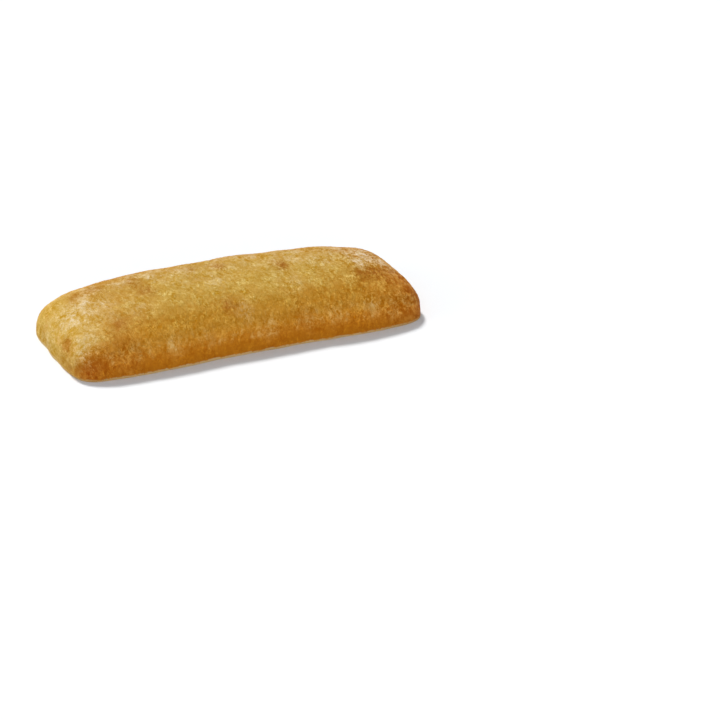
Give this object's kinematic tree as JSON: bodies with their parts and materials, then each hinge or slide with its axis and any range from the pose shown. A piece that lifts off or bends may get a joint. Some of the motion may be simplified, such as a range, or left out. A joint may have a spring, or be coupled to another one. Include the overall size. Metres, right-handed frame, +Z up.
{
  "type": "ciabatta half",
  "caption": "Domed top half of a long ciabatta, cut lengthwise, with a floury golden-brown crust over an open cream crumb, lying on its cut face.",
  "frame": {"origin": "middle of the cut face, at the centre of the part's box in plan, on the surface that the part lies on", "axes": "+X along the loaf, +Y across it, +Z up from the cut face to the crown"},
  "size_m": [0.2214, 0.098, 0.0303],
  "materials": {
    "crust": "baked crust, dull with a slight floury sheen, over cream crumb on the cut face"
  },
  "bodies": {
    "root": {"ciabatta_half": "crust"}
  },
  "joints": []
}
